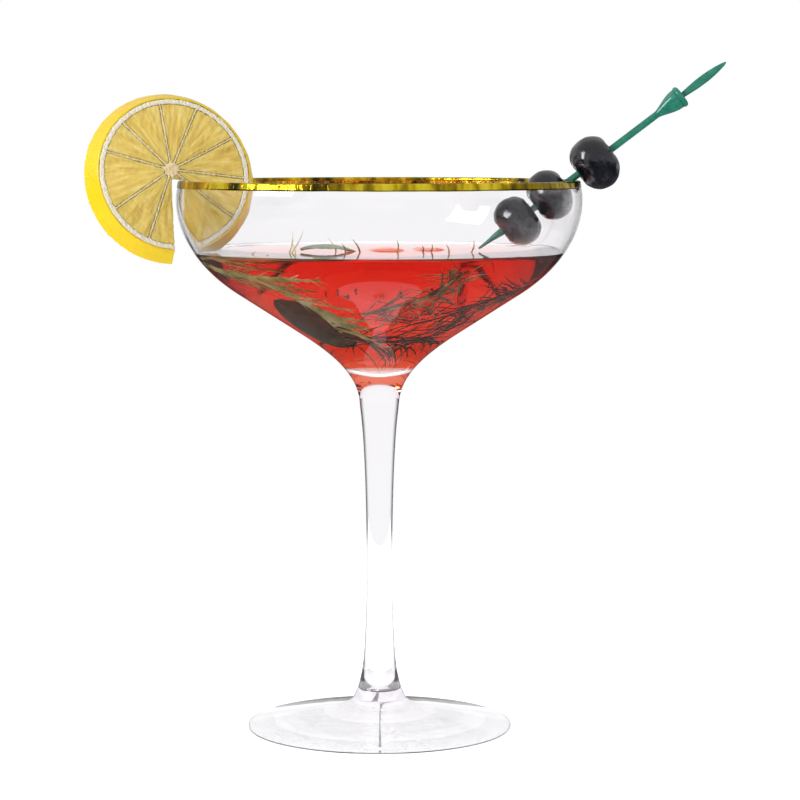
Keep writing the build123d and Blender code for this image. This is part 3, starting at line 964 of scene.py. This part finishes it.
def rindPores(points, normals):
    # round pits over the skin, with slow unevenness
    axes = wheelFrame()[1]
    local = onWheel(points) / mm
    angle = np.arctan2(local[:, 1], local[:, 0])
    gap = cells(angle * lemon["radius"] / lemon["poreSpacing"], local[:, 2] / lemon["poreSpacing"], 1.3)
    outward = 1 - np.abs(normals @ axes[2])
    pit = -lemon["poreDepth"] * np.exp(-(gap / lemon["poreWidth"]) ** 2)
    return (pit * outward + 0.10 * waves(points, 5 * mm, 4) * outward) * mm - 0.08 * mm


def pithFluff(points, normals):
    # the sum of a fine and a coarser smooth noise
    return 0.07 * mm * waves(points, 0.9 * mm, 5) + 0.05 * mm * waves(points, 2.5 * mm, 6)


def vectorMath(tree, operation, *values):
    node = tree.nodes.new("ShaderNodeVectorMath")
    node.operation = operation
    for socket, value in zip(node.inputs, values):
        feed(socket, value)
    return node


def hubPoint(tree):
    # the wheel's own axes, centred on the hub, so a pattern can run out from it
    origin, axes = wheelFrame()
    hub = origin + (axes[0] * lemon["hubOffset"][0] + axes[1] * lemon["hubOffset"][1]) * mm
    where = tree.nodes.new("ShaderNodeTexCoord")
    away = vectorMath(tree, "SUBTRACT", where.outputs["Object"], hub)
    combine = tree.nodes.new("ShaderNodeCombineXYZ")
    for socket, axis in zip(combine.inputs, axes):
        feed(socket, vectorMath(tree, "DOT_PRODUCT", away.outputs["Vector"], axis).outputs["Value"])
    return combine.outputs[0]


def pulpMaterial():
    # the pattern lies in polar coordinates round the hub: distance over the sacs' length, and the turn
    made, tree, shader = newMaterial("lemonPulp")
    local = hubPoint(tree)
    split = tree.nodes.new("ShaderNodeSeparateXYZ")
    setInputs(split, Vector=local)
    turn = arithmetic(tree, "ARCTAN2", split.outputs["Y"], split.outputs["X"])
    length = vectorMath(tree, "LENGTH", local).outputs["Value"]
    polar = tree.nodes.new("ShaderNodeCombineXYZ")
    setInputs(polar, X=arithmetic(tree, "MULTIPLY", length, 1 / (lemon["sacLength"] * mm)),
              Y=arithmetic(tree, "MULTIPLY", turn, lemon["sacsPerRadian"]))
    streaks = noise(tree, polar.outputs[0], 1.0, detail=5, roughness=0.6)
    sacs = voronoi(tree, polar.outputs[0], 1.0)
    cloudy = noise(tree, objectPoint(tree), 6 * mm, detail=3)
    streaked = [(0.30, (0.58, 0.37, 0.05)), (0.5, (0.80, 0.58, 0.13)), (0.72, (0.92, 0.76, 0.30))]
    cloud = spread(tree, cloudy, 0.0, 0.5)
    colour = mixColour(tree, cloud, ramp(tree, streaks, streaked), (0.84, 0.63, 0.17))
    setInputs(shader, Base_Color=colour, Roughness=spread(tree, streaks, 0.10, 0.38))
    setInputs(shader, Subsurface_Weight=0.55, Subsurface_Radius=(0.004, 0.003, 0.001), Subsurface_Scale=0.8,
              Coat_Weight=0.35, Coat_Roughness=0.12, IOR=1.36)
    bump(tree, shader, sacs, 0.18 * mm, 0.8)
    return made


def pithMaterial(name, dark, light, stained):
    made, tree, shader = newMaterial(name)
    point = objectPoint(tree)
    fibres = noise(tree, point, 0.6 * mm, detail=5)
    stain = noise(tree, point, 7 * mm, detail=2)
    colour = ramp(tree, fibres, [(0.25, dark), (0.6, light)])
    colour = mixColour(tree, spread(tree, stain, 0.0, 0.45), colour, stained)
    setInputs(shader, Base_Color=colour, Roughness=0.55, Subsurface_Weight=0.4,
              Subsurface_Radius=(0.003, 0.0025, 0.0015), Subsurface_Scale=0.6)
    bump(tree, shader, fibres, 0.12 * mm)
    return made


def rindMaterial():
    made, tree, shader = newMaterial("lemonRind")
    point = objectPoint(tree)
    pores = voronoi(tree, point, 0.85 * mm, "SMOOTH_F1")
    patches = noise(tree, point, 10 * mm, detail=4)
    yellows = [(0.30, (0.96, 0.62, 0.004)), (0.55, (1.0, 0.80, 0.008)), (0.75, (1.0, 0.90, 0.03))]
    pitted = spread(tree, pores, 0.0, 0.35)
    colour = mixColour(tree, pitted, (0.88, 0.58, 0.004), ramp(tree, patches, yellows))
    setInputs(shader, Base_Color=colour, Roughness=spread(tree, patches, 0.22, 0.42))
    setInputs(shader, Subsurface_Weight=0.25, Subsurface_Radius=(0.002, 0.001, 0.0002), Subsurface_Scale=0.5,
              Coat_Weight=0.3, Coat_Roughness=0.25)
    bump(tree, shader, pores, 0.10 * mm, 0.7)
    return made


def makeLemon():
    pulp = pulpMaterial()
    ring = pithMaterial("lemonPith", (0.80, 0.70, 0.45), (0.95, 0.91, 0.78), (0.84, 0.66, 0.46))
    walls = pithMaterial("lemonWalls", (0.72, 0.54, 0.25), (0.88, 0.74, 0.46), (0.78, 0.52, 0.34))
    for number in range(1, 11):
        node = f"lemon_segment_{number:02d}"
        mesh = refined(node, lemon["pulpVoxel"], 5)
        shapeMesh(mesh, juiceSacs)
        adopt(f"lemon_pulp_{number:02d}", mesh, "lemon_wheel", (node,), pulp)
    for name, node, voxel, change, slot, made in (
        ("lemon_skin", "lemon_rind", lemon["skinVoxel"], rindPores, "lemon_rind", rindMaterial()),
        ("lemon_white_ring", "lemon_pith", lemon["skinVoxel"], pithFluff, "lemon_pith", ring),
        ("lemon_walls", "lemon_membranes", lemon["wallVoxel"], pithFluff, "lemon_pith", walls),
    ):
        mesh = refined(node, voxel, 3)
        shapeMesh(mesh, change)
        adopt(name, mesh, "lemon_wheel", (node,), made)


makeLemon()
print("lemon ready")


# pick and berries

pick = {
    "tilt": 37.2, "length": 92.3, "shaft": 1.05, "tip": 0.3, "taper": 8.0, "clearance": 0.2, "tipDrop": 20.65,
    "budStart": 66.5, "budLength": 9.5, "bud": 3.1, "collar": 3.4, "collarLength": 1.7, "petals": 5,
    "paddleWidth": 3.0, "paddleThickness": 1.3, "paddleTurn": 50.0,
}
# radius, half height, place along the pick, and how far each berry hangs off the pick's middle
berries = {
    "radius": (8.0, 8.0, 8.3), "half": (6.0, 6.0, 6.4), "at": (14.4, 26.9, 43.3), "sag": (0.35, 0.0, 0.35),
    "boreGap": 0.06, "dimple": 1.75, "pucker": 0.16, "rows": 90, "columns": 120, "open": 3,
}


def pickFrame():
    # the pick's tip and its three axes: sideways, up and along
    tilt = math.radians(pick["tilt"])
    gap = lipRadius + gold["thickness"] + pick["shaft"] + pick["clearance"]
    overX = glass["rim"] - lipRadius - gap * math.sin(tilt)
    overZ = glass["height"] - lipRadius + gap * math.cos(tilt)
    tipHeight = glass["height"] - pick["tipDrop"]
    origin = np.array([overX - (overZ - tipHeight) / math.tan(tilt), 0, tipHeight]) * mm
    along = np.array([math.cos(tilt), 0, math.sin(tilt)])
    side = np.array([0.0, 1.0, 0.0])
    return origin, np.stack([side, np.cross(along, side), along])


def alongPick(points):
    origin, axes = pickFrame()
    return points @ axes + origin


def pickMaterial():
    made, tree, shader = newMaterial("greenPlastic")
    point = objectPoint(tree)
    swirl = noise(tree, point, 5 * mm, detail=3, distortion=1.0)
    fine = noise(tree, point, 0.5 * mm, detail=3)
    colour = ramp(tree, swirl, [(0.3, (0.010, 0.15, 0.10)), (0.7, (0.030, 0.26, 0.18))])
    setInputs(shader, Base_Color=colour, Roughness=spread(tree, fine, 0.12, 0.26))
    setInputs(shader, Subsurface_Weight=0.15, Subsurface_Radius=(0.0005, 0.002, 0.0015), Subsurface_Scale=0.5)
    bump(tree, shader, swirl, 0.10 * mm)
    return made


def makePick():
    # shaft: a tapering tube; bud: petals ripple its radius by a cosine of the turn; collar: a rolled ring
    budEnd = pick["budStart"] + pick["budLength"]
    collarStart = budEnd - pick["collarLength"]
    t = np.linspace(0, 1, 26)
    swell = np.sin(pi / 2 * t ** 1.15) ** 1.1
    bud = np.stack([pick["shaft"] + (pick["bud"] - pick["shaft"]) * swell,
                    pick["budStart"] + (collarStart - pick["budStart"]) * t], -1)
    half = pick["collarLength"] / 2
    roll = np.linspace(-pi / 2, pi / 2, 11)
    rolled = pick["collar"] - 0.75 + 0.75 * np.cos(roll)
    collar = np.stack([rolled, collarStart + half + half * np.sin(roll)], -1)
    profile = np.concatenate([
        [(0, 0)],
        [(pick["tip"] * 0.7, 0.06), (pick["tip"], 0.3)],
        np.linspace((pick["tip"] * 1.1, 0.8), (pick["shaft"], pick["taper"]), 10),
        np.linspace((pick["shaft"], pick["taper"] + 1), (pick["shaft"], pick["budStart"] - 0.5), 40),
        bud,
        collar,
        [(1.6, budEnd - 0.15), (1.2, budEnd - 0.5), (0, budEnd - 0.6)],
    ])
    rings, first, last = lathe(profile, 60)
    turn = np.linspace(0, 2 * pi, 60, endpoint=False)
    z = rings[..., 2]
    inBud = np.clip((z - pick["budStart"]) / pick["budLength"] * 2, 0, 1) * (z < collarStart)
    rings[..., :2] *= (1 - 0.10 * inBud * (0.5 - 0.5 * np.cos(pick["petals"] * turn)) ** 2)[..., None]
    body = closedGrid(rings, first, last)
    # paddle: an oval blade whose width swells past its root and narrows to a blunt point
    s = np.linspace(0, 1, 40)
    length = pick["length"] - budEnd + 0.8
    width = pick["paddleWidth"] / 2 * (0.42 + 0.58 * np.sin(pi * np.clip(s * 0.92 + 0.05, 0, 1)) ** 1.2)
    width *= np.sqrt(np.clip(1 - s ** 8, 0, 1)) + 0.02
    thick = pick["paddleThickness"] / 2 * (1 - 0.25 * s) * (np.sqrt(np.clip(1 - s ** 10, 0, 1)) + 0.02)
    turn = np.linspace(0, 2 * pi, 28, endpoint=False)
    blade = np.stack([width[:, None] * np.cos(turn),
                      thick[:, None] * np.sign(np.sin(turn)) * np.abs(np.sin(turn)) ** 0.7,
                      (budEnd - 0.8 + s * length)[:, None] + 0 * turn], -1)
    angle = math.radians(pick["paddleTurn"])
    across = [[math.cos(angle), math.sin(angle)], [-math.sin(angle), math.cos(angle)]]
    blade[..., :2] = blade[..., :2] @ np.array(across)
    start, end = np.array([0, 0, budEnd - 0.8]), np.array([0, 0, pick["length"]])
    verts, quads, tris = joined([body, closedGrid(blade, start, end)])
    addMesh("green_pick", (alongPick(verts * mm), quads, tris), "pick", ("cocktail_pick",),
            pickMaterial())


def berryMaterial():
    made, tree, shader = newMaterial("blueberrySkin")
    point = objectPoint(tree)
    bloom = noise(tree, point, 4.5 * mm, detail=7, roughness=0.65, distortion=0.6)
    rubbed = noise(tree, point, 0.9 * mm, detail=4)
    blues = [(0.38, (0.003, 0.003, 0.005)), (0.58, (0.008, 0.009, 0.016)), (0.75, (0.06, 0.063, 0.090))]
    gloss = ramp(tree, bloom, [(0.38, (0.10,) * 3), (0.70, (0.42,) * 3)])
    setInputs(shader, Base_Color=ramp(tree, bloom, blues), Roughness=gloss, Coat_Weight=0.35,
              Coat_Roughness=0.06)
    bump(tree, shader, rubbed, 0.05 * mm)
    return made


def makeBerry(number, made):
    # a flattened ball with a dimple at each end where the pick goes in, puckered near the holes
    radius, half, at, sag = (berries[key][number - 1] for key in ("radius", "half", "at", "sag"))
    bore = pick["shaft"] + berries["boreGap"]
    phi = np.linspace(0, pi, berries["rows"])[:, None]
    turn = np.linspace(0, 2 * pi, berries["columns"], endpoint=False)[None]
    r = radius * np.sin(phi) ** 0.86 + 0 * turn
    z = half * np.cos(phi) + 0 * turn
    inward = np.exp(-((r / radius) / 0.34) ** 2)
    z = z * 1.06 - np.sign(z) * (berries["dimple"] * inward)
    folds = np.sin(9 * turn + 2 * np.sin(3 * turn + number))
    pucker = berries["pucker"] * np.exp(-((r / radius - 0.36) / 0.22) ** 2) * folds
    z = z - np.sign(z) * pucker * 0.6
    lump = 0.10 * np.sin(2 * turn + number) + 0.07 * np.sin(3 * turn + 2 * number)
    r = np.maximum(r * (1 + 0.018 * lump / 0.1 * np.sin(phi)), bore)
    rings = np.stack([r * np.cos(turn), r * np.sin(turn), z], -1)
    rings = rings + unit(rings) * 0.05 * waves(rings, 3.5, 60 + number)[..., None]
    rings[..., 1] -= sag * np.sin(phi) ** 3
    rings = rings[berries["open"]:-berries["open"]]
    hole = np.linspace(rings[-1], rings[0], 12)[1:-1]
    hole[..., 0] = bore * np.cos(turn)
    hole[..., 1] = bore * np.sin(turn)
    loop = np.concatenate([rings, hole])
    loop[..., 2] += at
    faces = gridFaces(len(loop), loop.shape[1], wrapRows=True)
    addMesh(f"berry_{number}_skin", (alongPick(loop.reshape(-1, 3) * mm), faces, noTriangles),
            f"berry_{number}", (f"blueberry_{number}",), made)


makePick()
berrySkin = berryMaterial()
for number in (1, 2, 3):
    makeBerry(number, berrySkin)
print("pick and berries ready")
